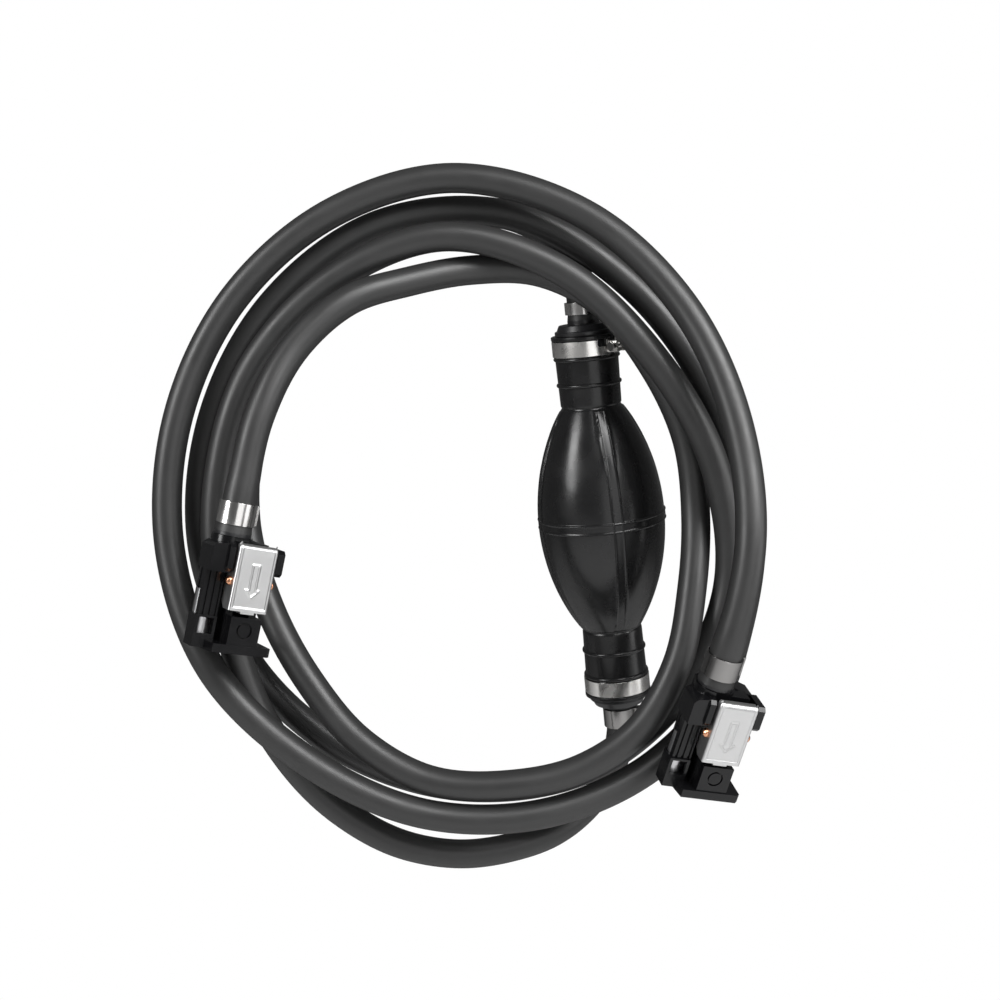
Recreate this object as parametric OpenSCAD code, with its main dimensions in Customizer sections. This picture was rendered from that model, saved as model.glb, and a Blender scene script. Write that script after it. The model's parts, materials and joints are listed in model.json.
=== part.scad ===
// Primer-bulb fuel line: a squeeze bulb with two one-way valves, two hoses and two latched connectors.
// The line hangs in a loose coil. The origin is inside the bundle at the top, where it is held.

/* [Hose] */
// Outside diameter of the fuel hose
hose_od = 12.4; // [12:0.1:12.6]
// Bore of the fuel hose
hose_bore = 8; // [7.6:0.1:8.2]

/* [Bulb] */
// Largest diameter of the squeeze bulb
bulb_d = 56; // [50:1:58]
// Length of the swollen part of the bulb
bulb_body_l = 100; // [96:1:101]
// Outside diameter of the bulb's necks
neck_d = 27.8; // [27.6:0.1:28]
// Thickness of the bulb's rubber
bulb_wall = 2.6; // [2.4:0.1:2.7]
// Travel of each check ball
ball_travel = 3; // [2:0.5:3]

/* [Connector] */
// Bore of the fuel socket
socket_d = 10; // [9.8:0.1:10]
// Bore of the guide-pin sleeve
guide_d = 6; // [5.6:0.1:6.2]
// Width of the latch
latch_w = 16.7; // [16.5:0.1:16.8]
// Diameter of the latch's pivot pin
latch_pin_d = 2.4; // [2:0.1:2.5]
// Travel of the check valve's poppet
poppet_travel = 2.5; // [1:0.5:2.5]

/* [Hidden] */
$fn = 64;

// ---- Where the bulb and the connectors hang: place, then [pitch, lean, yaw] in degrees ----
bulb_at = [66.5, 39, -125.6];
bulb_turn = [10.5, -6.1, 0];
tank_at = [-86, -27, -130.8];
tank_turn = [0.5, 11.5, 34];
engine_at = [107.1, -31, -190];
engine_turn = [19, 15.6, 17];

// Distance from the bulb's middle to the end face of each hose
hose_seat = 88.5;
// Straight run of hose on a connector's barb, and on a bulb's barb
tail_run = 20;
barb_run = 9;

module placed(at, turn) {
    translate(at) rotate([0, turn[1], 0]) rotate([turn[0], 0, 0]) rotate([0, 0, turn[2]]) children();
}
function up_axis(turn) = [cos(turn[0]) * sin(turn[1]), -sin(turn[0]), cos(turn[0]) * cos(turn[1])];

// ---- Hose routes ----
tank_end = tank_at;
engine_end = engine_at;
inlet_end = bulb_at + hose_seat * up_axis(bulb_turn);
outlet_end = bulb_at - hose_seat * up_axis(bulb_turn);

// From the tank connector up and over, down the right, along the bottom, up the left and over to the bulb
tank_route = concat(
    [tank_end, tank_end + tail_run * up_axis(tank_turn)],
    [
        [-76, -26, -85], [-61.5, -19, -55], [-41, -13.5, -36], [-17, -5, -27], [9, 3, -21],
        [36.5, 6.5, -21], [62.8, 5.5, -33.5], [85.6, 5, -61], [100.3, 5.5, -93], [104, 6, -125],
        [101.5, -1, -155], [94, -8.5, -187], [77.5, -12, -213.5], [54, -12, -229], [25, -11, -235.5],
        [-8.5, -8, -234], [-37.5, -4, -218.5], [-59.5, 2, -194], [-77.5, 9, -163], [-88, 13, -127],
        [-86.5, 16, -92], [-76, 19, -59], [-57, 22, -31], [-35, 23, -9], [-12, 24, 3], [8, 24, 7.5],
        [27, 24, 5.5], [43.5, 22.8, -3.5], [53.6, 21.3, -17]
    ],
    [inlet_end + barb_run * up_axis(bulb_turn), inlet_end]
);

// From the engine connector up, twice round the coil, then up from the lowest strand to the bulb's outlet
engine_route = concat(
    [engine_end, engine_end + tail_run * up_axis(engine_turn)],
    [
        [118.8, -41, -138], [116.8, -33, -94], [95.8, -22, -40], [55.2, -12, 0], [-2, -5, 16],
        [-51.5, -2, 1], [-91.6, 0, -34.5], [-114.2, 0, -83], [-117.6, 0, -139], [-98.9, -7, -188],
        [-61.1, -8, -224.7], [-9, -7.5, -248.4], [45, -7, -246.8], [86.5, -1, -228.3], [110.8, 7.2, -205],
        [123.5, 14, -173], [128.6, 13, -124], [110.6, 11.5, -70.4], [75.2, 10.5, -24.5], [26, 8, 3], [-31, 8, -1],
        [-76.5, 10, -34.7], [-103.3, 12, -87], [-107, 17, -142], [-86, 22, -192], [-46, 19.5, -226.5],
        [8.5, 14, -241.5], [59, 11, -232.5], [94.5, 5, -203], [116.6, 0, -155], [110, -6, -103],
        [84, -8, -58], [46.5, -8, -23], [-3, -6, -8.5], [-50, -3, -27], [-83, -2, -63], [-98, 0, -116],
        [-94, 2, -168], [-79, 7.5, -212.5], [-49, 12.5, -250], [-21, 16, -266.5], [4, 21, -271.8],
        [25.5, 29, -271], [44.7, 38, -266.4], [60.7, 48.5, -256.6], [72.3, 56, -241.5]
    ],
    [outlet_end - barb_run * up_axis(bulb_turn), outlet_end]
);

// ---- Sweeping a tube or a wire along a route ----
function unit(v) = v / norm(v);
function at_clamped(pts, i) =
    i < 0 ? 2 * pts[0] - pts[1] : i >= len(pts) ? 2 * pts[len(pts) - 1] - pts[len(pts) - 2] : pts[i];
function gap(pts, i) = norm(at_clamped(pts, i + 1) - at_clamped(pts, i));
function velocity(pts, i) =
    let (a = gap(pts, i - 1), b = gap(pts, i))
    (b / a * (pts[i] - at_clamped(pts, i - 1)) + a / b * (at_clamped(pts, i + 1) - pts[i])) / (a + b);
function hermite(a, b, leave, arrive, t) =
    let (s = 1 - t)
    (1 + 2 * t) * s * s * a + (1 + 2 * s) * t * t * b + t * s * s * leave - t * t * s * arrive;
function spline_at(pts, u) =
    let (i = min(floor(u), len(pts) - 2), g = gap(pts, i))
    hermite(pts[i], pts[i + 1], g * velocity(pts, i), g * velocity(pts, i + 1), u - i);
function resampled(pts, count) = [for (k = [0:count - 1]) spline_at(pts, k * (len(pts) - 1) / (count - 1))];
function tangent(pts, i) = unit(at_clamped(pts, i + 1) - at_clamped(pts, i - 1));
function ring(centre, along, side, r, sides) =
    let (u = unit(cross(along, side)), v = cross(u, along))
    [for (k = [0:sides - 1]) centre + r * (cos(360 * k / sides) * u + sin(360 * k / sides) * v)];
function band_faces(rings, sides, from, flip) = [
    for (i = [0:rings - 2], k = [0:sides - 1])
        let (a = from + i * sides + k, b = from + i * sides + (k + 1) % sides, c = b + sides, d = a + sides)
        each flip ? [[a, b, c], [a, c, d]] : [[a, c, b], [a, d, c]]
];
function end_faces(outer, inner, sides, flip) = [
    for (k = [0:sides - 1])
        let (a = outer + k, b = outer + (k + 1) % sides, c = inner + (k + 1) % sides, d = inner + k)
        each flip ? [[a, c, b], [a, d, c]] : [[a, b, c], [a, c, d]]
];

// A hollow tube; side is a direction that the route never runs along
module tube(pts, r_out, r_in, sides, side) {
    n = len(pts);
    outer = [for (i = [0:n - 1]) each ring(pts[i], tangent(pts, i), side, r_out, sides)];
    inner = [for (i = [0:n - 1]) each ring(pts[i], tangent(pts, i), side, r_in, sides)];
    inner_from = n * sides;
    last = (n - 1) * sides;
    polyhedron(
        points = concat(outer, inner),
        faces = concat(
            band_faces(n, sides, 0, false), band_faces(n, sides, inner_from, true),
            end_faces(0, inner_from, sides, false), end_faces(last, inner_from + last, sides, true)
        )
    );
}

// A solid wire
module wire(pts, r, sides, side) {
    n = len(pts);
    last = (n - 1) * sides;
    polyhedron(
        points = [for (i = [0:n - 1]) each ring(pts[i], tangent(pts, i), side, r, sides)],
        faces = concat(
            band_faces(n, sides, 0, false),
            [for (k = [1:sides - 2]) [0, k, k + 1]],
            [for (k = [1:sides - 2]) [last, last + k + 1, last + k]]
        )
    );
}
function coil(r, from, to, turns, steps) = [
    for (i = [0:turns * steps])
        [r * cos(360 * i / steps), r * sin(360 * i / steps), from + (to - from) * i / (turns * steps)]
];

// One ring about every three hose diameters
tank_rings = 24;
engine_rings = 60;
hose_sides = 10;
module hose(route, rings) {
    color("#2b2b2c") tube(resampled(route, rings), hose_od / 2, hose_bore / 2, hose_sides, [0, 1, 0]);
}

// ---- Bulb, in its own frame: Z along the bulb, zero at its middle ----
half_body = bulb_body_l / 2;
bulb_r = bulb_d / 2;
neck_r = neck_d / 2;
neck_low_r = neck_r - 0.5;
neck_in_r = neck_r - bulb_wall;
neck_end = 82;
bead_r = 0.8;
bead_z = [60.5, 72];
rib_h = 0.8;
rib_angle = 9;
waist_h = 5.2;
lip_h = 2;
lip_out = 1;
rib_turn = -80;
body_swell = bulb_r - neck_low_r;
body_arc_r = (half_body * half_body + body_swell * body_swell) / (2 * body_swell);
body_steps = 24;
function body_radius(z) = bulb_r - body_arc_r + sqrt(body_arc_r * body_arc_r - z * z);
function body_edge(from, to, grow) = [
    for (i = [0:body_steps])
        let (z = from + (to - from) * i / body_steps)
        [body_radius(z) + grow, z]
];

module bulb_shell() {
    color("#161617") {
        difference() {
            union() {
                rotate_extrude() polygon(concat(
                    [[0, -neck_end], [neck_r, -neck_end], [neck_r, -bead_z[1]]],
                    body_edge(-half_body, half_body, 0),
                    [[neck_r, bead_z[1]], [neck_r, neck_end], [0, neck_end]]
                ));
                // beads and end lips on the necks, and the band round the middle
                for (side = [-1, 1])
                    rotate_extrude() polygon([
                        [neck_r - 1, side * (neck_end - lip_h)], [neck_r + 0.3, side * (neck_end - lip_h)],
                        [neck_r + lip_out, side * (neck_end - lip_h + 0.4)],
                        [neck_r + lip_out, side * (neck_end - 0.5)],
                        [neck_r + 0.2, side * neck_end], [neck_r - 1, side * neck_end]
                    ]);
                for (side = [-1, 1], z = bead_z)
                    rotate_extrude() translate([neck_r - (z == bead_z[0] ? 0.25 : 0), side * z])
                        circle(r = bead_r, $fn = 24);
                rotate_extrude() polygon(concat(
                    [[bulb_r - 2, -waist_h / 2]],
                    body_edge(-waist_h / 2, waist_h / 2, rib_h),
                    [[bulb_r - 2, waist_h / 2]]
                ));
                for (k = [0:3])
                    rotate([0, 0, rib_turn + 90 * k - rib_angle / 2])
                        rotate_extrude(angle = rib_angle) polygon(concat(
                            [[neck_low_r - 1, 1 - half_body]],
                            body_edge(1 - half_body, half_body - 1, rib_h),
                            [[neck_low_r - 1, half_body - 1]]
                        ));
            }
            rotate_extrude() polygon(concat(
                [[0, -neck_end - 1], [neck_in_r, -neck_end - 1], [neck_in_r, -plug_from]],
                body_edge(1 - half_body, half_body - 1, -bulb_wall),
                [[neck_in_r, plug_from], [neck_in_r, neck_end + 1], [0, neck_end + 1]]
            ));
        }
    }
}

// ---- Valve housings in the bulb's necks; z up is away from the bulb ----
plug_gap = 0.02;
plug_from = 52;
cap_z = neck_end;
cap_top = 86.5;
barb_bore_r = 2.4;
chamber_r = 6;
ball_r = 4.5;
ball_seat_r = 3.2;
spring_wire_r = 0.35;
ball_spring_r = 3.2;
ball_stop_r = 3.9;
// How far along the axis a seat, a stop and a spring meet the ball from its middle
seat_reach = sqrt(ball_r * ball_r - ball_seat_r * ball_seat_r) + 0.03;
stop_reach = sqrt(ball_r * ball_r - ball_stop_r * ball_stop_r) + 0.03;
spring_reach = sqrt(pow(ball_r + spring_wire_r + 0.03, 2) - ball_spring_r * ball_spring_r);
module ball_spring(from, to) {
    color("#b8babd") wire(coil(ball_spring_r, from, to, 5, 14), spring_wire_r, 6, [0, 0, 1]);
}

module ridge(z, r, h) {
    translate([0, 0, z]) cylinder(r1 = r + 0.45, r2 = r - 0.05, h = h);
}
module hose_barb(from, length) {
    barb_r = hose_bore / 2 - 0.05;
    translate([0, 0, from]) cylinder(r = barb_r, h = length);
    for (k = [0:3]) ridge(from + 2.5 + k * (length - 3) / 4, barb_r, 2.5);
}
module valve_housing() {
    translate([0, 0, plug_from]) cylinder(r = neck_in_r - plug_gap, h = cap_z - plug_from + 0.5);
    translate([0, 0, cap_z + 0.05]) cylinder(r = 13, h = 1.8);
    translate([0, 0, cap_z + 1.85]) cylinder(r1 = 12.2, r2 = 11, h = cap_top - cap_z - 1.85);
    translate([0, 0, cap_top - 0.1]) cylinder(r = 7, h = hose_seat - cap_top + 0.1);
    hose_barb(hose_seat, 15);
}

// The inlet's ball shuts against a seat on the hose side, and the cage is pressed in below it
inlet_seat_z = 74;
inlet_ball_z = inlet_seat_z - seat_reach;
seat_from = plug_from + 0.2;
cage_floor = 3;
module inlet_valve_body() {
    color("#101011") difference() {
        valve_housing();
        translate([0, 0, plug_from - 1]) cylinder(r = chamber_r, h = inlet_seat_z - plug_from + 1);
        translate([0, 0, inlet_seat_z - 1]) cylinder(r = ball_seat_r, h = 4);
        translate([0, 0, inlet_seat_z]) cylinder(r = barb_bore_r, h = 60);
    }
}
module holed_disc(z, r, hole_r, h) {
    translate([0, 0, z]) difference() {
        cylinder(r = r, h = h);
        translate([0, 0, -1]) cylinder(r = hole_r, h = h + 2);
    }
}
module inlet_cage() {
    // the ball stops on the cup's rim
    rim = inlet_ball_z - ball_travel - stop_reach;
    color("#3a3a3c") {
        holed_disc(seat_from, chamber_r - 0.02, 2.6, cage_floor);
        holed_disc(seat_from, chamber_r - 0.02, ball_stop_r, rim - seat_from);
    }
}
module inlet_ball() {
    color("#c8c8c4") translate([0, 0, inlet_ball_z]) sphere(r = ball_r);
}
module inlet_ball_spring() {
    ball_spring(seat_from + cage_floor + spring_wire_r + 0.02, inlet_ball_z - spring_reach);
}

// The outlet's ball shuts against a seat ring on the bulb side
outlet_floor_z = 76;
outlet_seat_h = 3;
outlet_ball_z = seat_from + outlet_seat_h + seat_reach;
module outlet_valve_body() {
    color("#101011") mirror([0, 0, 1]) difference() {
        valve_housing();
        translate([0, 0, plug_from - 1])
            cylinder(r = chamber_r, h = outlet_ball_z + ball_travel + stop_reach - plug_from + 1);
        translate([0, 0, plug_from]) cylinder(r = ball_stop_r, h = outlet_floor_z - plug_from);
        translate([0, 0, outlet_floor_z - 1]) cylinder(r = barb_bore_r, h = 60);
    }
}
module outlet_seat() {
    color("#3a3a3c") mirror([0, 0, 1]) holed_disc(seat_from, chamber_r - 0.02, ball_seat_r, outlet_seat_h);
}
module outlet_ball() {
    color("#c8c8c4") translate([0, 0, -outlet_ball_z]) sphere(r = ball_r);
}
module outlet_ball_spring() {
    mirror([0, 0, 1]) ball_spring(outlet_ball_z + spring_reach, outlet_floor_z - spring_wire_r - 0.02);
}

// ---- Bands with a screw on the necks ----
band_in_r = neck_r + 0.1;
band_t = 0.8;
band_from = 73.2;
band_h = 6.6;
ear_gap = 3.6;
notch_from = -73;
notch_span = 17;
ear_t = 1.2;
ear_out = 4.8;
ear_turn = -41.5;
ear_screw = 3;
head_r = 2;
screw_r = 1.1;
module band() {
    difference() {
        union() {
            translate([0, 0, band_from]) cylinder(r = band_in_r + band_t, h = band_h);
            for (side = [-1, 1])
                rotate([0, 0, ear_turn]) translate([
                    band_in_r + 0.2, side * (ear_gap + ear_t) / 2 - ear_t / 2, band_from + 0.8
                ]) cube([ear_out, ear_t, band_h - 1.6]);
        }
        translate([0, 0, band_from - 1]) cylinder(r = band_in_r, h = band_h + 2);
        rotate([0, 0, ear_turn]) translate([band_in_r - 2, -ear_gap / 2, band_from - 1])
            cube([5, ear_gap, band_h + 2]);
        rotate([0, 0, notch_from]) rotate_extrude(angle = notch_span)
            translate([band_in_r - 1, band_from + band_h * 0.55]) square([4, band_h]);
        rotate([0, 0, ear_turn]) translate([band_in_r + ear_screw, -10, band_from + band_h / 2])
            rotate([-90, 0, 0]) cylinder(r = screw_r + 0.05, h = 20);
    }
}
module band_screw() {
    across = [band_in_r + ear_screw, 0, band_from + band_h / 2];
    rotate([0, 0, ear_turn]) translate(across) rotate([-90, 0, 0]) {
        translate([0, 0, -ear_gap / 2 - ear_t - 2]) cylinder(r = head_r, h = 1.98);
        translate([0, 0, -ear_gap / 2 - ear_t - 0.1]) cylinder(r = screw_r, h = ear_gap + 2 * ear_t + 4);
    }
}
module band_nut() {
    rotate([0, 0, ear_turn]) translate([band_in_r + ear_screw, 0, band_from + band_h / 2]) rotate([-90, 0, 0])
        difference() {
            translate([0, 0, ear_gap / 2 + ear_t + 0.02]) cylinder(r = head_r + 0.2, h = 2.2, $fn = 6);
            translate([0, 0, ear_gap / 2]) cylinder(r = screw_r + 0.02, h = 8);
        }
}
// The lower band is the upper one turned end for end, with its screw round at the back
lower_turn = 40;
module lower_end() {
    rotate([180, 0, lower_turn]) children();
}
module both_ends() {
    children();
    lower_end() children();
}

// ---- Crimped clips on the hose ends ----
clip_in_r = 6.95;
clip_t = 0.7;
tail_clip_from = 3.2;
tail_clip_l = 9;
inlet_clip_from = hose_seat + 2.4;
inlet_clip_l = 5.2;
outlet_clip_from = hose_seat + 0.4;
outlet_clip_l = 8.4;
module clip(from, length) {
    difference() {
        union() {
            translate([0, 0, from]) cylinder(r = clip_in_r + clip_t, h = length);
            rotate([0, 0, 15]) translate([clip_in_r - 0.1, -2.2, from + 0.4]) cube([2.4, 4.4, length - 0.8]);
        }
        translate([0, 0, from - 1]) cylinder(r = clip_in_r, h = length + 2);
    }
}
module silver_clip(from, length) {
    color("#b9bbbe") clip(from, length);
}

// ---- Connector, in its own frame: Z up the hose, zero at the hose's end face, -Y at the latch ----
socket_x = 7;
socket_r = socket_d / 2;
guide_x = -6.5;
guide_r = guide_d / 2;
foot_z = -47;
flange_top = -43.5;
left_x = -11;
left_back = 2.4;
right_x = 20.7;
guard_x = 19.2;
back_y = 9.5;
core_x = [0.4, 13.6];
core_front = -7.2;
brow_front = -10;
top_front = -6.4;
column_x = -10.2;
block_z = -33.7;
brow_z = -14;
shoulder_z = -15.5;
collar_z = -1.5;
relief_y = -6.8;
tail_floor = -10;
passage_z = -14.8;
valve_chamber_r = 4.4;
chamber_top = -12.5;
seat_top = -24.4;
seat_h = 2;
gland_r = socket_r + 0.5;
seal_z = -27.6;
seal_r = 0.75;
slot_z = [-32.2, -29];
pivot_y = -9.6;
pivot_z = -18.4;
pin_r = latch_pin_d / 2;
pin_clear = 0.05;
sheet_t = 1;
latch_front = -13.4;
latch_top = -3;
latch_foot = -29.7;
latch_x0 = socket_x - latch_w / 2;
latch_x1 = socket_x + latch_w / 2;

module box(x, y, z) {
    translate([x[0], y[0], z[0]]) cube([x[1] - x[0], y[1] - y[0], z[1] - z[0]]);
}
module profile_y(y, pts) {
    translate([0, y[1], 0]) rotate([90, 0, 0]) linear_extrude(y[1] - y[0]) polygon(pts);
}
module profile_x(x, pts) {
    translate([x[0], 0, 0]) rotate([90, 0, 90]) linear_extrude(x[1] - x[0]) polygon(pts);
}
module upright(x, r, from, to) {
    translate([x, 0, from]) cylinder(r = r, h = to - from);
}

// The guide column, and the wider block at its foot
module column(grow, from, to) {
    translate([0, 0, from]) linear_extrude(to - from) polygon([
        [column_x - grow, -5.4 - grow], [-2.2, -5.4 - grow], [-2.2, 8], [-5, 8], [-5, 4.6],
        [-8.6 - grow / 2, 4.6], [column_x - grow, 1.8]
    ]);
}

module connector_solid() {
    // collar under the hose, and the sloping shoulder behind the latch
    upright(0, 8.2, -4, collar_z);
    translate([0, 0, -7]) cylinder(r1 = 9.2, r2 = 8.2, h = 3.01);
    profile_y([0, left_back], [
        [left_x, shoulder_z], [left_x, -6], [left_x + 1.5, -4.5], [-4, -2.4], [0.5, -2.4], [0.5, shoulder_z]
    ]);
    profile_y([0, back_y], [
        [-5, shoulder_z], [-5, -2.9], [-4, -2.4], [8.6, -2], [guard_x - 1.2, -4.6], [guard_x, -6],
        [guard_x, -14.5], [guard_x - 1, shoulder_z]
    ]);
    profile_y([brow_front, 0.1], [
        [left_x, shoulder_z], [left_x, -6], [left_x + 1.5, -4.5], [-2.2, -3.4], [-2.2, shoulder_z]
    ]);
    box([-2.3, core_x[1]], [top_front, 0.1], [brow_z, -2.8]);
    // thumb guards on both sides of the latch
    profile_x([-4.6, -2.2], [[0, -15], [-10, -15], [-11.4, -13.6], [-11.4, -5], [-10, -3.6], [0, -3.6]]);
    profile_x([16.2, guard_x], [
        [0.1, -14.6], [-10, -14.6], [-11.4, -13.2], [-11.4, -5.2], [-10, -3.8], [0.1, -3.8]
    ]);
    // core round the socket, and the guide column
    box(core_x, [core_front, 8], [flange_top - 0.1, brow_z + 0.1]);
    box([-5, core_x[1] + 0.9], [0, 8], [flange_top - 0.1, shoulder_z + 0.1]);
    column(0, flange_top, shoulder_z + 0.1);
    column(0.8, foot_z + 0.4, block_z);
    // lugs for the pivot pin
    for (x = [[core_x[0], 3.4], [10.6, core_x[1]]])
        profile_x(x, [
            [core_front + 0.1, -22.5], [-10.4, -20.6], [-11.6, -19.2], [-11.6, -17.6], [-10.4, -16.2],
            [core_front + 0.1, -14.6]
        ]);
    // foot block with its round boss, and the foot flange
    box([1.2, 14.4], [-12, 8], [flange_top - 0.1, slot_z[0]]);
    translate([0, 0, foot_z]) linear_extrude(flange_top - foot_z) polygon([
        [-4, 10.5], [-7.6, 4], [-4.6, -12.6], [19.4, -12.6], [right_x, -11.2], [right_x, 9], [19.2, 10.5]
    ]);
}

module connector_body() {
    color("#19191b") difference() {
        connector_solid();
        // flat on the collar, which the latch's top swings in to
        box([-2.2, 16.2], [-12, relief_y], [-8, 1]);
        upright(0, 5.22, tail_floor, 1);
        upright(0, 2.4, passage_z, tail_floor + 1);
        translate([0, 0, passage_z]) rotate([0, 90, 0]) cylinder(r = 2.2, h = socket_x);
        translate([0, 0, passage_z]) sphere(r = 2.4);
        // check valve chamber, fuel socket and the seal's groove
        upright(socket_x, valve_chamber_r, seat_top - 0.5, chamber_top);
        upright(socket_x, socket_r, foot_z - 1, slot_z[0] + 0.1);
        upright(socket_x, gland_r, slot_z[0], seat_top);
        upright(socket_x, gland_r + seal_r, seal_z - seal_r - 0.05, seal_z + seal_r + 0.05);
        // guide-pin bore with its inspection window
        upright(guide_x, guide_r + 0.8, foot_z - 1, -23.5);
        box([-9.7, -3.3], [-9, -2.6], [-41, -34.6]);
        // slot for the latch's hook
        box([3.4, 10.6], [-13, -4], slot_z);
        // pivot pin
        translate([-10, pivot_y, pivot_z]) rotate([0, 90, 0]) cylinder(r = pin_r + 0.01, h = 40);
        // grooves down the guide column, and the ring round the boss on the foot block
        for (x = [-9.2, -6.6, -4]) box([x, x + 1.1], [-7, -4.7], [block_z, shoulder_z]);
        box([column_x - 2, column_x + 0.3], [-3, 0], [block_z, shoulder_z]);
        translate([7.6, -12, -37.4]) rotate([90, 0, 0]) difference() {
            translate([0, 0, -0.9]) cylinder(r = 3.3, h = 2);
            translate([0, 0, -2]) cylinder(r = 2.6, h = 4);
        }
    }
}
module hose_tail() {
    color("#131314") difference() {
        union() {
            upright(0, 5.2, tail_floor + 0.05, collar_z + 0.1);
            upright(0, 7.4, collar_z + 0.01, -0.02);
            hose_barb(-0.1, 18.1);
        }
        upright(0, 2.4, -20, 30);
    }
}
module socket_seal() {
    color("#2a2a2c") translate([socket_x, 0, seal_z]) rotate_extrude()
        translate([socket_r + 0.45, 0]) circle(r = seal_r, $fn = 24);
}
module valve_seat() {
    color("#b08d57") translate([socket_x, 0, 0]) holed_disc(seat_top - seat_h, gland_r - 0.02, 2.6, seat_h);
}
module poppet() {
    color("#d9d5c8") {
        upright(socket_x, 3.8, seat_top + 0.03, seat_top + 2);
        upright(socket_x, 1.6, seat_top - 5, seat_top + 0.1);
        // the stem stops just under the chamber's roof at the end of the travel
        upright(socket_x, 1.9, seat_top + 1.9, chamber_top - poppet_travel - 0.04);
    }
}
poppet_spring_r = 2.8;
module poppet_spring() {
    from = seat_top + 2 + spring_wire_r + 0.05;
    to = chamber_top - spring_wire_r - 0.05;
    color("#b8babd") translate([socket_x, 0, 0])
        wire(coil(poppet_spring_r, from, to, 5, 14), spring_wire_r, 6, [0, 0, 1]);
}
module guide_sleeve() {
    color("#9b9da0") difference() {
        upright(guide_x, guide_r + 0.78, foot_z + 0.4, -24);
        upright(guide_x, guide_r, foot_z - 1, 0);
    }
}
pin_head_r = 1.9;
pin_head_h = 1.9;
module latch_pin() {
    half = latch_w / 2 + pin_clear;
    color("#c77b4f") translate([socket_x, pivot_y, pivot_z]) rotate([0, 90, 0]) {
        translate([0, 0, -half - 0.1]) cylinder(r = pin_r, h = 2 * half + 0.2);
        for (side = [-1, 1]) rotate([90 - 90 * side, 0, 0]) translate([0, 0, half]) {
            cylinder(r = pin_head_r, h = pin_head_h / 2);
            translate([0, 0, pin_head_h / 2]) cylinder(r1 = pin_head_r, r2 = pin_r - 0.3, h = pin_head_h / 2);
        }
    }
}
module latch_side(x) {
    profile_x(x, [
        [latch_front, latch_top], [-9.8, latch_top], [-9.8, -13.6], [-4.6, -16.4], [-3.6, -19.6],
        [-4.6, -27.2], [-7.6, latch_foot], [latch_front, latch_foot]
    ]);
}
module latch() {
    color("#c3c4c6") difference() {
        union() {
            box([latch_x0, latch_x1], [latch_front, latch_front + sheet_t], [latch_foot, latch_top]);
            box([latch_x0, latch_x1], [latch_front, -10.6], [latch_top - sheet_t, latch_top]);
            latch_side([latch_x0, latch_x0 + sheet_t]);
            latch_side([latch_x1 - sheet_t, latch_x1]);
            // hook at the foot
            box([4, 10], [latch_front, -4.2], [latch_foot - sheet_t, latch_foot + 0.01]);
        }
        translate([-10, pivot_y, pivot_z]) rotate([0, 90, 0]) cylinder(r = pin_r + pin_clear, h = 40);
    }
}
module latch_spring() {
    coil_r = pin_r + 0.6;
    coil_half = 3.1;
    coil_path = [
        for (p = coil(coil_r, -coil_half, coil_half, 6, 12)) [socket_x + p[2], pivot_y + p[0], pivot_z + p[1]]
    ];
    leg_y = pivot_y + coil_r;
    back_leg = [for (z = [-6, -2.5]) [socket_x - coil_half, leg_y, pivot_z + z]];
    front_leg = [for (z = [2.5, 7]) [socket_x + coil_half, leg_y, pivot_z + z]];
    color("#b8babd") wire(concat(back_leg, coil_path, front_leg), 0.4, 6, [1, 0.01, 0.02]);
}

module at_bulb() placed(bulb_at, bulb_turn) children();
module at_connector(end) {
    placed(end == "tank" ? tank_at : engine_at, end == "tank" ? tank_turn : engine_turn) children();
}

at_bulb() bulb_shell();
at_bulb() inlet_valve_body();
at_bulb() outlet_valve_body();
at_bulb() inlet_ball();
at_bulb() outlet_ball();
at_bulb() inlet_ball_spring();
at_bulb() outlet_ball_spring();
at_bulb() inlet_cage();
at_bulb() outlet_seat();
at_bulb() color("#b9bbbe") band();  // inlet_neck_band
at_bulb() lower_end() color("#b9bbbe") band();  // outlet_neck_band
at_bulb() color("#d5d6d8") both_ends() band_screw();  // neck_band_screws
at_bulb() color("#a9abae") both_ends() band_nut();  // neck_band_nuts
hose(tank_route, tank_rings);  // tank_hose
hose(engine_route, engine_rings);  // engine_hose
at_bulb() silver_clip(inlet_clip_from, inlet_clip_l);  // inlet_hose_clip
at_bulb() rotate([180, 0, 0]) silver_clip(outlet_clip_from, outlet_clip_l);  // outlet_hose_clip
for (end = ["tank", "engine"]) {
    at_connector(end) silver_clip(tail_clip_from, tail_clip_l);
    at_connector(end) connector_body();
    at_connector(end) hose_tail();
    at_connector(end) latch();
    at_connector(end) latch_pin();
    at_connector(end) latch_spring();
    at_connector(end) socket_seal();
    at_connector(end) valve_seat();
    at_connector(end) poppet();
    at_connector(end) poppet_spring();
    at_connector(end) guide_sleeve();
}
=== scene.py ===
import json
import math

import bmesh
import bpy
import numpy as np
from mathutils import Matrix, Vector

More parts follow.
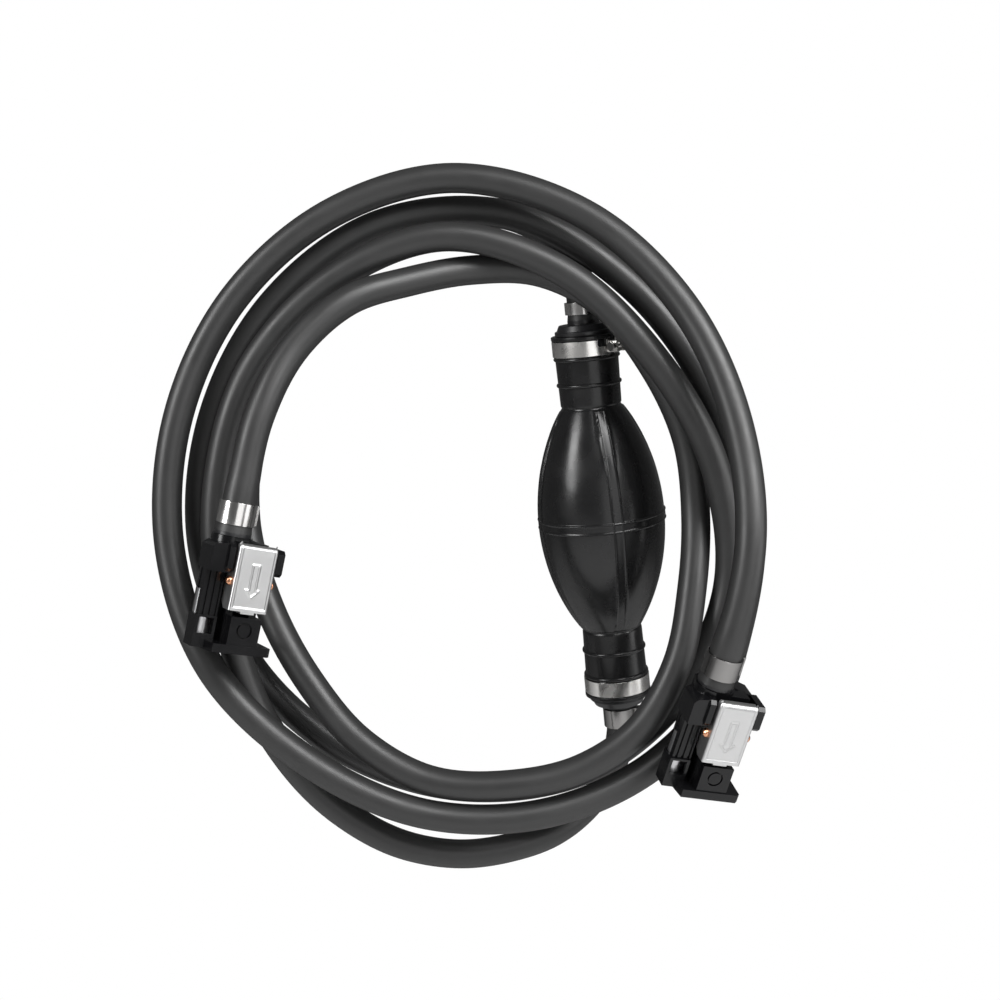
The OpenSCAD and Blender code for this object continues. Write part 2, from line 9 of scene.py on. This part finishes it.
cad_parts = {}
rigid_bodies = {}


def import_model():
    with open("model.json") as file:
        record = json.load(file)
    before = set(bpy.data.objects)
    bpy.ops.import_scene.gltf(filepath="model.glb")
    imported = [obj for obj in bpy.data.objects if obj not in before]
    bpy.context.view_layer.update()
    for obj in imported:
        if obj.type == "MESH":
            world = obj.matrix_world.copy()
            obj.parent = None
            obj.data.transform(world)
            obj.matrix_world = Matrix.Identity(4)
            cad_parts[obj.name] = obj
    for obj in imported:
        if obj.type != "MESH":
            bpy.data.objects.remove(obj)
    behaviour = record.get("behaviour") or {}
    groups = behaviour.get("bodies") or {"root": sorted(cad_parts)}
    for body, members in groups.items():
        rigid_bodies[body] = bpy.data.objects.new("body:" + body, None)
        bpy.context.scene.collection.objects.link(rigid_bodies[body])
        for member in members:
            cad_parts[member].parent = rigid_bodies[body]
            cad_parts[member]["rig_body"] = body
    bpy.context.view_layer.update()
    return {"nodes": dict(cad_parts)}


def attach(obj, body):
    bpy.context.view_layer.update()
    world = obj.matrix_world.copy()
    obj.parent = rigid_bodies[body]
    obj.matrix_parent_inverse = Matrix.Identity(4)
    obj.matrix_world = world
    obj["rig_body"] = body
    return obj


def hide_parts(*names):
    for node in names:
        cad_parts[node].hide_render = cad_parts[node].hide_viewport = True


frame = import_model()
scene = bpy.context.scene
MM = 0.001

# ---------------------------------------------------------------- camera
EYE = (0.021, -0.6, -0.118)
SENSOR = 36.0
VIEW_WIDTH = 0.42  # metres across the picture at the plane y = 0, which runs through the coil

camera_data = bpy.data.cameras.new("camera")
camera_data.sensor_width = SENSOR
camera_data.lens = SENSOR * -EYE[1] / VIEW_WIDTH
camera_data.clip_start = 0.01
camera = bpy.data.objects.new("camera", camera_data)
camera.location = EYE
camera.rotation_euler = (math.radians(90), 0, 0)
scene.collection.objects.link(camera)
scene.camera = camera

# ---------------------------------------------------------------- places, as in the CAD source
# each is a position in mm, and a pitch, lean and yaw in degrees
BULB = ((66.5, 39, -125.6), (10.5, -6.1, 0))
TANK = ((-86, -27, -130.8), (0.5, 11.5, 34))
ENGINE = ((107.1, -31, -190), (19, 15.6, 17))
ENDS = {"tank": TANK, "engine": ENGINE}


def placed(at, turn):
    """The matrix from a piece's own mm to the row frame's metres."""
    pitch, lean, yaw = (math.radians(a) for a in turn)
    return (
        Matrix.Translation(Vector(at) * MM)
        @ Matrix.Rotation(lean, 4, "Y")
        @ Matrix.Rotation(pitch, 4, "X")
        @ Matrix.Rotation(yaw, 4, "Z")
        @ Matrix.Scale(MM, 4)
    )


def along(place, z):
    """The point z mm up a placed piece's own axis, in mm."""
    return np.array(placed(*place) @ Vector((0, 0, z))) / MM


# ---------------------------------------------------------------- materials
GLOSS_FADE = (0.35, 0.97)  # how far a surface has turned away where its gloss starts and stops fading
PATCH_SCALE = 90  # features of the noise to a metre
PATCH_DETAIL = 5
PATCH_SPREAD = (0.3, 0.7)  # the part of the noise that changes the gloss
GRAIN_DETAIL = 3


def map_range(tree, value, target, low, high, span=(0.0, 1.0), curve="LINEAR"):
    """Feeds target with low to high while value goes through span."""
    node = tree.nodes.new("ShaderNodeMapRange")
    node.interpolation_type = curve
    node.inputs["From Min"].default_value = span[0]
    node.inputs["From Max"].default_value = span[1]
    node.inputs["To Min"].default_value = low
    node.inputs["To Max"].default_value = high
    tree.links.new(value, node.inputs["Value"])
    tree.links.new(node.outputs["Result"], target)


def noise(tree, scale, detail):
    """Noise that lies still in the piece's own coordinates."""
    where = tree.nodes.new("ShaderNodeTexCoord")
    node = tree.nodes.new("ShaderNodeTexNoise")
    node.inputs["Scale"].default_value = scale
    node.inputs["Detail"].default_value = detail
    tree.links.new(where.outputs["Object"], node.inputs["Vector"])
    return node.outputs["Fac"]


def camera_level(tree, target, others, seen):
    """Feeds target with seen for rays from the camera, and with others for all the rest."""
    ray = tree.nodes.new("ShaderNodeLightPath")
    map_range(tree, ray.outputs["Is Camera Ray"], target, others, seen)


def shader(
    name, color, rough, metallic=0.0, specular=0.5, grain=0.0, grain_size=0.4, patch=0.0, edge=None
):
    """A plain finish. grain is the height of a fine bump in mm, patch varies the gloss from place to place,
    and edge is the share of the gloss that is left where the surface turns away."""
    mat = bpy.data.materials.new(name)
    mat.use_nodes = True
    tree = mat.node_tree
    base = tree.nodes["Principled BSDF"]
    base.inputs["Base Color"].default_value = (*color, 1)
    base.inputs["Roughness"].default_value = rough
    base.inputs["Metallic"].default_value = metallic
    gloss = base.inputs["Specular IOR Level"]
    gloss.default_value = specular
    if edge is not None:
        facing = tree.nodes.new("ShaderNodeLayerWeight")
        facing.inputs["Blend"].default_value = 0.5
        away = facing.outputs["Facing"]
        map_range(tree, away, gloss, specular, edge * specular, GLOSS_FADE, "SMOOTHSTEP")
    if patch:
        cloud = noise(tree, PATCH_SCALE, PATCH_DETAIL)
        map_range(tree, cloud, base.inputs["Roughness"], rough - patch, rough + patch, PATCH_SPREAD)
    if grain:
        bump = tree.nodes.new("ShaderNodeBump")
        bump.inputs["Distance"].default_value = grain * MM
        bump.inputs["Strength"].default_value = 1
        tree.links.new(noise(tree, 1 / (grain_size * MM), GRAIN_DETAIL), bump.inputs["Height"])
        tree.links.new(bump.outputs["Normal"], base.inputs["Normal"])
    return mat


HOSE_RUBBER = shader(
    "hose_rubber", (0.022, 0.022, 0.022), 0.42, grain=0.03, grain_size=0.5, patch=0.05, edge=0.05
)
BULB_RUBBER = shader(
    "bulb_rubber", (0.008, 0.008, 0.0083), 0.26, specular=0.45, grain=0.012, grain_size=0.9, patch=0.07
)
PLASTIC = shader("black_plastic", (0.012, 0.012, 0.013), 0.33, grain=0.008, grain_size=0.5, patch=0.08)
MOULDED = shader(
    "moulded_plastic", (0.004, 0.004, 0.0045), 0.2, specular=0.34, grain=0.006, grain_size=0.5, patch=0.05
)
STEEL = shader("stainless", (0.78, 0.77, 0.755), 0.2, 1.0, grain=0.004, grain_size=0.7, patch=0.05)
SATIN = shader("satin_steel", (0.6, 0.6, 0.6), 0.36, 1.0, grain=0.008, grain_size=0.25, patch=0.03)
BAND_STEEL = shader("band_steel", (0.9, 0.885, 0.86), 0.26, 1.0, grain=0.006, grain_size=0.9, patch=0.08)
# the same stainless made darker: painted shade for the clips, screws and nuts that sit in shadow
SHADED_STEEL = shader("shaded_steel", (0.27, 0.265, 0.26), 0.2, 1.0, grain=0.004, grain_size=0.7, patch=0.06)
WIRE = shader("spring_wire", (0.62, 0.63, 0.65), 0.28, 1.0)
TURNED = shader("turned_steel", (0.55, 0.55, 0.56), 0.3, 1.0, grain=0.003)
COPPER = shader("copper", (0.86, 0.42, 0.25), 0.22, 1.0)
BRASS = shader("brass", (0.78, 0.6, 0.3), 0.3, 1.0)
SEAL = shader("seal_rubber", (0.02, 0.02, 0.02), 0.45)
PALE = shader("pale_plastic", (0.72, 0.7, 0.62), 0.4)
GREY = shader("grey_plastic", (0.12, 0.12, 0.125), 0.45)

# ---------------------------------------------------------------- making pieces
EDGE_ANGLE = 32  # two faces that differ by more than this meet at an edge
FLAT_ANGLE = 0.5  # faces that differ by less than this are one flat face
CAD_MERGE = 2e-6  # metres between points of a CAD mesh that are one point


def finish_piece(obj, mat, body, replaces):
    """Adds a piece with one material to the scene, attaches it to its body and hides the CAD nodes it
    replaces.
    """
    obj.data.materials.clear()
    obj.data.materials.append(mat)
    scene.collection.objects.link(obj)
    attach(obj, body)
    if replaces:
        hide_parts(*replaces)


def mesh_of(name, verts, faces, place, sharp=35, merge=1e-6):
    """An object from a placed piece's local points in mm, shaded smooth up to the angle sharp.
    Points nearer than merge, in metres, become one."""
    mesh = bpy.data.meshes.new(name)
    mesh.from_pydata([tuple(v) for v in verts], [], [tuple(f) for f in faces])
    mesh.transform(placed(*place))
    bm = bmesh.new()
    bm.from_mesh(mesh)
    bmesh.ops.remove_doubles(bm, verts=bm.verts, dist=merge)
    bmesh.ops.recalc_face_normals(bm, faces=bm.faces)
    bm.to_mesh(mesh)
    bm.free()
    mesh.shade_smooth()
    mesh.set_sharp_from_angle(angle=math.radians(sharp))
    return bpy.data.objects.new(name, mesh)


def grid(rows, cols, wrap=False, start=0):
    """Quads over rows of cols points each. wrap joins the last column to the first."""
    return [
        (
            start + r * cols + c,
            start + r * cols + (c + 1) % cols,
            start + (r + 1) * cols + (c + 1) % cols,
            start + (r + 1) * cols + c,
        )
        for r in range(rows - 1)
        for c in range(cols if wrap else cols - 1)
    ]


def soften(obj, width, segments=2, angle=EDGE_ANGLE):
    """Rounds a piece's edges by width mm."""
    mod = obj.modifiers.new("soft_edges", "BEVEL")
    mod.width = width * MM
    mod.segments = segments
    mod.limit_method = "ANGLE"
    mod.angle_limit = math.radians(angle)
    mod.use_clamp_overlap = True
    mod.harden_normals = True
    mod.miter_outer = "MITER_ARC"


def refined(node, mat, width, segments=2):
    """A copy of a CAD node whose flat faces are whole again and whose edges are rounded by width mm."""
    source = frame["nodes"][node]
    mesh = source.data.copy()
    bm = bmesh.new()
    bm.from_mesh(mesh)
    bmesh.ops.remove_doubles(bm, verts=bm.verts, dist=CAD_MERGE)
    bmesh.ops.dissolve_limit(bm, angle_limit=math.radians(FLAT_ANGLE), verts=bm.verts, edges=bm.edges)
    bm.to_mesh(mesh)
    bm.free()
    if "custom_normal" in mesh.attributes:
        mesh.attributes.remove(mesh.attributes["custom_normal"])
    mesh.shade_smooth()
    mesh.set_sharp_from_angle(angle=math.radians(EDGE_ANGLE))
    obj = bpy.data.objects.new(node + "_look", mesh)
    soften(obj, width, segments)
    finish_piece(obj, mat, source["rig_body"], [node])


def smooth_step(edge, soft, value):
    """1 below edge and 0 above it, over a shoulder soft wide."""
    inside = np.clip((edge + soft / 2 - value) / soft, 0, 1)
    return inside**2 * (3 - 2 * inside)


def ridge(distance, half):
    """A rounded rise of height 1 that falls to about a third at half from its middle."""
    return np.exp(-((distance / half) ** 2))


# ---------------------------------------------------------------- hoses (mm)
HOSE_D = 12.4
TAIL_RUN = 20  # how far the route follows a connector's axis
BARB_RUN = 9  # how far it follows the bulb's axis
HOSE_SEAT = 88.5  # from the bulb's middle to the end of each hose
ROUTE_STEP = 3.0

# how much wider the hose is near an end: (share of the radius, reach, softness)
OVER_TAIL = (0.085, 24, 16)
OVER_BARB = (0.05, 20, 10)
TAIL_RIM = (0.12, 2.9, 1.2)
BARB_RIM = (0.07, 1.2, 1.6)

TANK_MIDDLE = [
    (-76, -26, -85), (-61.5, -19, -55), (-41, -13.5, -36), (-17, -5, -27), (9, 3, -21), (36.5, 6.5, -21),
    (62.8, 5.5, -33.5), (85.6, 5, -61), (100.3, 5.5, -93), (104, 6, -125), (101.5, -1, -155),
    (94, -8.5, -187), (77.5, -12, -213.5), (54, -12, -229), (25, -11, -235.5), (-8.5, -8, -234),
    (-37.5, -4, -218.5), (-59.5, 2, -194), (-77.5, 9, -163), (-88, 13, -127), (-86.5, 16, -92),
    (-76, 19, -59), (-57, 22, -31), (-35, 23, -9), (-12, 24, 3), (8, 24, 7.5), (27, 24, 5.5),
    (43.5, 22.8, -3.5), (53.6, 21.3, -17),
]
ENGINE_MIDDLE = [
    (118.8, -41, -138), (116.8, -33, -94), (95.8, -22, -40), (55.2, -12, 0), (-2, -5, 16), (-51.5, -2, 1),
    (-91.6, 0, -34.5), (-114.2, 0, -83), (-117.6, 0, -139), (-98.9, -7, -188), (-61.1, -8, -224.7),
    (-9, -7.5, -248.4), (45, -7, -246.8), (86.5, -1, -228.3), (110.8, 7.2, -205), (123.5, 14, -173),
    (128.6, 13, -124), (110.6, 11.5, -70.4), (75.2, 10.5, -24.5), (26, 8, 3), (-31, 8, -1),
    (-76.5, 10, -34.7), (-103.3, 12, -87), (-107, 17, -142), (-86, 22, -192), (-46, 19.5, -226.5),
    (8.5, 14, -241.5), (59, 11, -232.5), (94.5, 5, -203), (116.6, 0, -155), (110, -6, -103), (84, -8, -58),
    (46.5, -8, -23), (-3, -6, -8.5), (-50, -3, -27), (-83, -2, -63), (-98, 0, -116), (-94, 2, -168),
    (-79, 7.5, -212.5), (-49, 12.5, -250), (-21, 16, -266.5), (4, 21, -271.8), (25.5, 29, -271),
    (44.7, 38, -266.4), (60.7, 48.5, -256.6), (72.3, 56, -241.5),
]


def spline(points):
    """The route as a smooth line through its points."""
    p = np.array(points, float)
    p = np.vstack([2 * p[0] - p[1], p, 2 * p[-1] - p[-2]])
    gap = np.linalg.norm(np.diff(p, axis=0), axis=1)
    speed = [
        (gap[i] / gap[i - 1] * (p[i] - p[i - 1]) + gap[i - 1] / gap[i] * (p[i + 1] - p[i]))
        / (gap[i - 1] + gap[i])
        for i in range(1, len(p) - 1)
    ]
    out = []
    for i in range(1, len(p) - 2):
        count = max(2, round(gap[i] / ROUTE_STEP))
        for t in np.arange(count) / count:
            s = 1 - t
            out.append(
                (1 + 2 * t) * s * s * p[i] + (1 + 2 * s) * t * t * p[i + 1]
                + gap[i] * (t * s * s * speed[i - 1] - t * t * s * speed[i])
            )
    return np.array(out + [p[-2]])


def widened(distance, *parts):
    """The share that an end adds to the hose's radius at a distance from it."""
    return sum(share * smooth_step(reach, soft, distance) for share, reach, soft in parts)


def hose(node, middle, connector, bulb_end):
    """A hose from a connector through the middle points to the bulb's inlet, 1, or its outlet, -1."""
    line = spline([
        along(connector, 0), along(connector, TAIL_RUN), *middle,
        along(BULB, bulb_end * (HOSE_SEAT + BARB_RUN)), along(BULB, bulb_end * HOSE_SEAT),
    ])
    run = np.concatenate([[0], np.cumsum(np.linalg.norm(np.diff(line, axis=0), axis=1))])
    # each end swells over its barbs, and its rim flares out past the clip
    swell = 1 + widened(run, OVER_TAIL, TAIL_RIM) + widened(run[-1] - run, OVER_BARB, BARB_RIM)
    curve = bpy.data.curves.new(node + "_look", "CURVE")
    curve.dimensions = "3D"
    curve.bevel_depth = HOSE_D / 2 * MM
    curve.bevel_resolution = 8
    curve.use_fill_caps = True
    strand = curve.splines.new("POLY")
    strand.points.add(len(line) - 1)
    for point, where, r in zip(strand.points, line * MM, swell):
        point.co = (*where, 1)
        point.radius = float(r)
    strand.use_smooth = True
    obj = bpy.data.objects.new(node + "_look", curve)
    finish_piece(obj, HOSE_RUBBER, "line", [node])


hose("tank_hose", TANK_MIDDLE, TANK, 1)
hose("engine_hose", ENGINE_MIDDLE, ENGINE, -1)

# ---------------------------------------------------------------- bulb (mm)
BULB_R = 28.0
HALF_BODY = 50.0
NECK_R = 13.9
NECK_LOW_R = NECK_R - 0.5  # the neck's radius beside the body
NECK_END = 82.0
WALL = 2.6
SWELL = BULB_R - NECK_LOW_R
ARC_R = (HALF_BODY**2 + SWELL**2) / (2 * SWELL)  # the body's outline is one arc of this radius

RIBS = 4
RIB_TURN = -80
RIB_HALF = 2.3
WAIST_HALF = 2.2
STRIP_H = 0.42  # height of the ribs and of the waist
STRIP_LINE_H = 0.3  # the line along a strip's edge stands this much higher
STRIP_LINE_IN = 0.35  # from the strip's edge to the line's middle
STRIP_LINE_HALF = 0.34

BEAD_Z = (60.5, 72.0)
BEAD_H = 0.75
BEAD_HALF = 0.85
GROOVE_Z = HALF_BODY + 0.6
GROOVE_DEPTH = 0.35
GROOVE_HALF = 0.5
LIP_Z = 81.0
LIP_H = 1.0
LIP_HALF = 0.95


def body_radius(high):
    """The plain body's outside radius at a distance from its middle, and the neck's low end past it."""
    return BULB_R - ARC_R + np.sqrt(ARC_R**2 - np.minimum(high, HALF_BODY) ** 2)


def strip(distance, half):
    """Height of a flat strip with a fine raised line along each edge."""
    line = STRIP_LINE_H * ridge(distance - half + STRIP_LINE_IN, STRIP_LINE_HALF)
    return STRIP_H * smooth_step(half, 0.5, distance) + line


def neck_rise(high):
    """What the neck's taper, beads, groove and lip add to its low end's radius."""
    taper = (NECK_R - NECK_LOW_R) * np.clip((high - HALF_BODY) / (BEAD_Z[1] - HALF_BODY), 0, 1)
    rise = taper
    for bead in BEAD_Z:
        round_top = np.sqrt(np.clip(1 - ((high - bead) / BEAD_HALF) ** 2, 0, 1))
        rise = np.maximum(rise, taper + BEAD_H * round_top)
    rise = rise - GROOVE_DEPTH * ridge(high - GROOVE_Z, GROOVE_HALF)
    return rise + LIP_H * smooth_step(LIP_HALF, 0.6, np.abs(high - LIP_Z))


def bulb_radius(turn, z):
    """Outside radius of the bulb at an angle in degrees and a height, arrays in step."""
    high = np.abs(z)
    body = body_radius(high)
    in_body = smooth_step(HALF_BODY - 0.4, 0.8, high)
    off = np.abs((turn - RIB_TURN + 45) % 90 - 45) * math.pi / 180 * body
    ribs = strip(off, RIB_HALF) * in_body
    waist = strip(high, WAIST_HALF) * in_body
    return body + np.maximum(ribs, waist) + neck_rise(high) * (1 - in_body)


def bulb_turns():
    """Angles round the bulb, close together on the ribs."""
    rib_part = np.concatenate([np.arange(-6.5, 6.6, 0.5), np.arange(9, 82, 3.2)])
    return np.sort(np.concatenate([RIB_TURN + 90 * k + rib_part for k in range(RIBS)]))


def bulb_heights():
    """Heights along the bulb, close together on the waist, the groove, the beads and the lip."""
    parts = [np.arange(-3.2, 3.3, 0.2)]
    for z in (HALF_BODY + 0.3, *BEAD_Z, LIP_Z):
        parts += [side * np.arange(z - 1.2, min(z + 1.2, NECK_END) + 0.01, 0.15) for side in (-1, 1)]
    parts.append(np.arange(-NECK_END, NECK_END + 0.1, 2.0))
    heights = np.unique(np.round(np.concatenate(parts), 3))
    heights = heights[np.concatenate([[True], np.diff(heights) > 0.08])]
    heights[-1] = NECK_END
    return heights


def bulb():
    """The outside from foot to top and the inside back down, closed at the foot."""
    turns = bulb_turns()
    t, z = np.meshgrid(turns, bulb_heights())
    t_in, z_in = np.meshgrid(turns, np.linspace(NECK_END, -NECK_END, 40))
    r_in = body_radius(np.abs(z_in)) - WALL
    r_in[np.abs(z_in) > HALF_BODY] = NECK_R - WALL
    r = np.vstack([bulb_radius(t, z), r_in])
    a = np.radians(np.vstack([t, t_in]))
    verts = np.stack([r * np.cos(a), r * np.sin(a), np.vstack([z, z_in])], -1).reshape(-1, 3)
    rows, cols = r.shape
    faces = grid(rows, cols, wrap=True)
    last = (rows - 1) * cols
    faces += [(last + c, last + (c + 1) % cols, (c + 1) % cols, c) for c in range(cols)]
    obj = mesh_of("bulb_shell_look", verts, faces, BULB, sharp=50)
    finish_piece(obj, BULB_RUBBER, "line", ["bulb_shell"])


bulb()

# ---------------------------------------------------------------- bands, clips, housings
CLIP_EDGE = 0.22
for node in ("inlet_valve_body", "outlet_valve_body"):
    refined(node, PLASTIC, 0.35)
for node in ("inlet_neck_band", "outlet_neck_band"):
    refined(node, BAND_STEEL, 0.2)
# the screws and nuts take the darker steel, painted shade for the dark notch they sit in
for node in ("neck_band_screws", "neck_band_nuts"):
    refined(node, SHADED_STEEL, 0.25)
for node in ("inlet_hose_clip", "tank_hose_clip"):
    refined(node, STEEL, CLIP_EDGE, 3)
# the outlet and engine clips take the darker steel, painted shade for where they sit in shadow
for node in ("outlet_hose_clip", "engine_hose_clip"):
    refined(node, SHADED_STEEL, CLIP_EDGE, 3)

# ---------------------------------------------------------------- connectors and latches (mm)
LATCH_LEFT = -1.35
LATCH_RIGHT = 15.35
LATCH_FRONT = -13.4
LATCH_BACK = -9.8
LATCH_TOP = -3.0
LATCH_FOOT = -29.7
LATCH_SHEET = 0.9
BEND_R = 1.1  # between the front and the sides
TOP_R = 1.9  # between the front and the top
PANEL_DEPTH = 0.4
PANEL_INSET = 1.5
ARROW_H = 0.36
ARROW_LINE_HALF = 0.42
ARROW = [(5.6, -10.9), (8.4, -10.9), (8.4, -21), (9.8, -21), (7, -24), (4.2, -21), (5.6, -21), (5.6, -10.9)]
# a side's back edge as (z, y), from the foot up
SIDE_EDGE = [(-29.7, -7.6), (-27.2, -4.6), (-19.6, -3.6), (-16.4, -4.6), (-13.6, -9.8), (-3, -9.8)]

FRONT_X = np.linspace(LATCH_LEFT + BEND_R, LATCH_RIGHT - BEND_R, 62)
FRONT_Z = np.linspace(LATCH_FOOT, LATCH_TOP - TOP_R, 104)
TOP_BEND = np.radians(np.linspace(0, 90, 8)[1:])
SIDE_BEND = np.radians(np.linspace(0, 90, 6))[1:-1]
DEPTHS = np.linspace(0, 1, 9)

# the hook is a box between these
HOOK_X = (4, 10)
HOOK_Y = (LATCH_FRONT + 0.4, -4.2)
HOOK_Z = (-30.7, LATCH_FOOT + 0.1)
BOX_FACES = [(0, 1, 3, 2), (4, 6, 7, 5), (0, 4, 5, 1), (2, 3, 7, 6), (0, 2, 6, 4), (1, 5, 7, 3)]


def to_line(x, z, corners):
    """Distance from points to a line through corners."""
    best = np.full_like(x, 99.0)
    for (ax, az), (bx, bz) in zip(corners[:-1], corners[1:]):
        dx, dz = bx - ax, bz - az
        t = np.clip(((x - ax) * dx + (z - az) * dz) / (dx * dx + dz * dz), 0, 1)
        best = np.minimum(best, np.hypot(x - ax - t * dx, z - az - t * dz))
    return best


def latch_relief(x, z):
    """How far the front stands back from the rim. The panel is sunk, and the arrow's outline rises in it."""
    inset = np.minimum.reduce([x - LATCH_LEFT, LATCH_RIGHT - x, LATCH_TOP - z, z - LATCH_FOOT])
    sunk = PANEL_DEPTH * (1 - smooth_step(PANEL_INSET, 0.6, inset))
    return sunk - ARROW_H * ridge(to_line(x, z, ARROW), ARROW_LINE_HALF)


def latch_side(edge_x, outward, z, over):
    """A side and its bend at one level, from the side's back edge to the front."""
    front_y = LATCH_FRONT + BEND_R
    lean = (1 - math.cos(over)) * TOP_R
    up = z + math.sin(over) * TOP_R
    out = outward * math.cos(over) * BEND_R
    back = np.interp(z, *zip(*SIDE_EDGE))
    flat = [(edge_x + out, front_y + s * (back - front_y), up) for s in DEPTHS[::-1]]
    return flat + [
        (edge_x + out * math.cos(b), front_y - (BEND_R - lean) * math.sin(b), up) for b in SIDE_BEND
    ]


def latch_level(z, over):
    """One level of the cover, left to right. over is how far it has bent from the front to the top."""
    lean = (1 - math.cos(over)) * TOP_R
    relief = np.zeros_like(FRONT_X) if over else latch_relief(FRONT_X, np.full_like(FRONT_X, z))
    front = [(x, LATCH_FRONT + lean + d, z + math.sin(over) * TOP_R) for x, d in zip(FRONT_X, relief)]
    left = latch_side(FRONT_X[0], -1, z, over)
    right = latch_side(FRONT_X[-1], 1, z, over)
    return left + front + right[::-1]


def latch_cover(end, place):
    """Front, both sides and the top of the pressed cover, as one bent sheet."""
    levels = [latch_level(z, 0.0) for z in FRONT_Z]
    levels += [latch_level(FRONT_Z[-1], over) for over in TOP_BEND]
    verts = [v for level in levels for v in level]
    faces = grid(len(levels), len(levels[0]))
    # the top runs back from the front's bend
    top_front = LATCH_FRONT + TOP_R
    faces += grid(len(DEPTHS), len(FRONT_X), start=len(verts))
    verts += [(x, top_front + s * (LATCH_BACK - top_front), LATCH_TOP) for s in DEPTHS for x in FRONT_X]
    obj = mesh_of(f"{end}_latch_look", verts, faces, place, sharp=60, merge=1e-5)
    thick = obj.modifiers.new("sheet", "SOLIDIFY")
    thick.thickness = LATCH_SHEET * MM
    thick.offset = -1
    soften(obj, 0.16, 2, 50)
    finish_piece(obj, SATIN, f"{end}_latch_lever", [f"{end}_latch"])


def latch_hook(end, place):
    """The tab at the latch's foot that holds the mating part."""
    verts = [(x, y, z) for x in HOOK_X for y in HOOK_Y for z in HOOK_Z]
    obj = mesh_of(f"{end}_latch_hook", verts, BOX_FACES, place)
    soften(obj, 0.2, 3)
    finish_piece(obj, SATIN, f"{end}_latch_lever", [])


for end, place in ENDS.items():
    refined(f"{end}_connector_body", MOULDED, 0.5, 3)
    refined(f"{end}_hose_tail", PLASTIC, 0.2)
    refined(f"{end}_latch_pin", COPPER, 0.25, 3)
    latch_cover(end, place)
    latch_hook(end, place)

# ---------------------------------------------------------------- CAD nodes that keep their shape
KEPT = {
    "guide_sleeve": TURNED, "socket_seal": SEAL, "valve_seat": BRASS, "poppet": PALE,
    "poppet_spring": WIRE, "latch_spring": WIRE,
    "ball": PALE, "ball_spring": WIRE, "inlet_cage": GREY, "outlet_seat": GREY,
}
for node, obj in frame["nodes"].items():
    for tail, mat in KEPT.items():
        if node.endswith(tail):
            obj.data.materials.clear()
            obj.data.materials.append(mat)

# ---------------------------------------------------------------- studio (m)
LIGHT_AIM = Vector((0.01, 0, -0.12))
ROOM_LIGHT = 0.1
FLOOR_Z = -0.75
FLOOR_HALF = 3.0
FLOOR_FAR = 1.1  # the far edge stays below the view
FLOOR_GLOW = 0.55


def softbox(name, where, size, power):
    """A rectangular light of size width and height that faces the coil."""
    data = bpy.data.lights.new(name, "AREA")
    data.shape = "RECTANGLE"
    data.size, data.size_y = size
    data.energy = power
    obj = bpy.data.objects.new(name, data)
    obj.location = where
    obj.rotation_euler = (LIGHT_AIM - Vector(where)).to_track_quat("-Z", "Y").to_euler()
    scene.collection.objects.link(obj)


def add_floor():
    """A white floor. The softboxes light little of it, so it glows to the camera. It lights nothing."""
    corners = [
        (-FLOOR_HALF, -FLOOR_HALF, FLOOR_Z), (FLOOR_HALF, -FLOOR_HALF, FLOOR_Z),
        (FLOOR_HALF, FLOOR_FAR, FLOOR_Z), (-FLOOR_HALF, FLOOR_FAR, FLOOR_Z),
    ]
    mesh = bpy.data.meshes.new("floor")
    mesh.from_pydata(corners, [], [(0, 1, 2, 3)])
    white = shader("floor_white", (0.8, 0.8, 0.8), 0.9)
    base = white.node_tree.nodes["Principled BSDF"]
    base.inputs["Emission Color"].default_value = (1, 1, 1, 1)
    camera_level(white.node_tree, base.inputs["Emission Strength"], 0.0, FLOOR_GLOW)
    mesh.materials.append(white)
    floor = bpy.data.objects.new("floor", mesh)
    scene.collection.objects.link(floor)


def add_room():
    """White behind the object, and a weaker white as the light that falls on it."""
    world = bpy.data.worlds.new("white")
    scene.world = world
    world.use_nodes = True
    background = world.node_tree.nodes["Background"]
    background.inputs["Color"].default_value = (1, 1, 1, 1)
    camera_level(world.node_tree, background.inputs["Strength"], ROOM_LIGHT, 1.0)


softbox("left_box", (-1.0, -0.64, 0.3), (0.4, 0.9), 12)
softbox("right_box", (0.88, -0.86, 0.58), (0.7, 0.7), 17)
softbox("top_box", (0.42, -0.92, 0.8), (0.9, 0.5), 11)
softbox("side_fill", (1.3, -0.4, -0.05), (0.8, 0.9), 5)
softbox("front_fill", (0.55, -1.25, -0.22), (0.9, 0.8), 2.5)
add_floor()
add_room()
scene.view_settings.view_transform = "Standard"
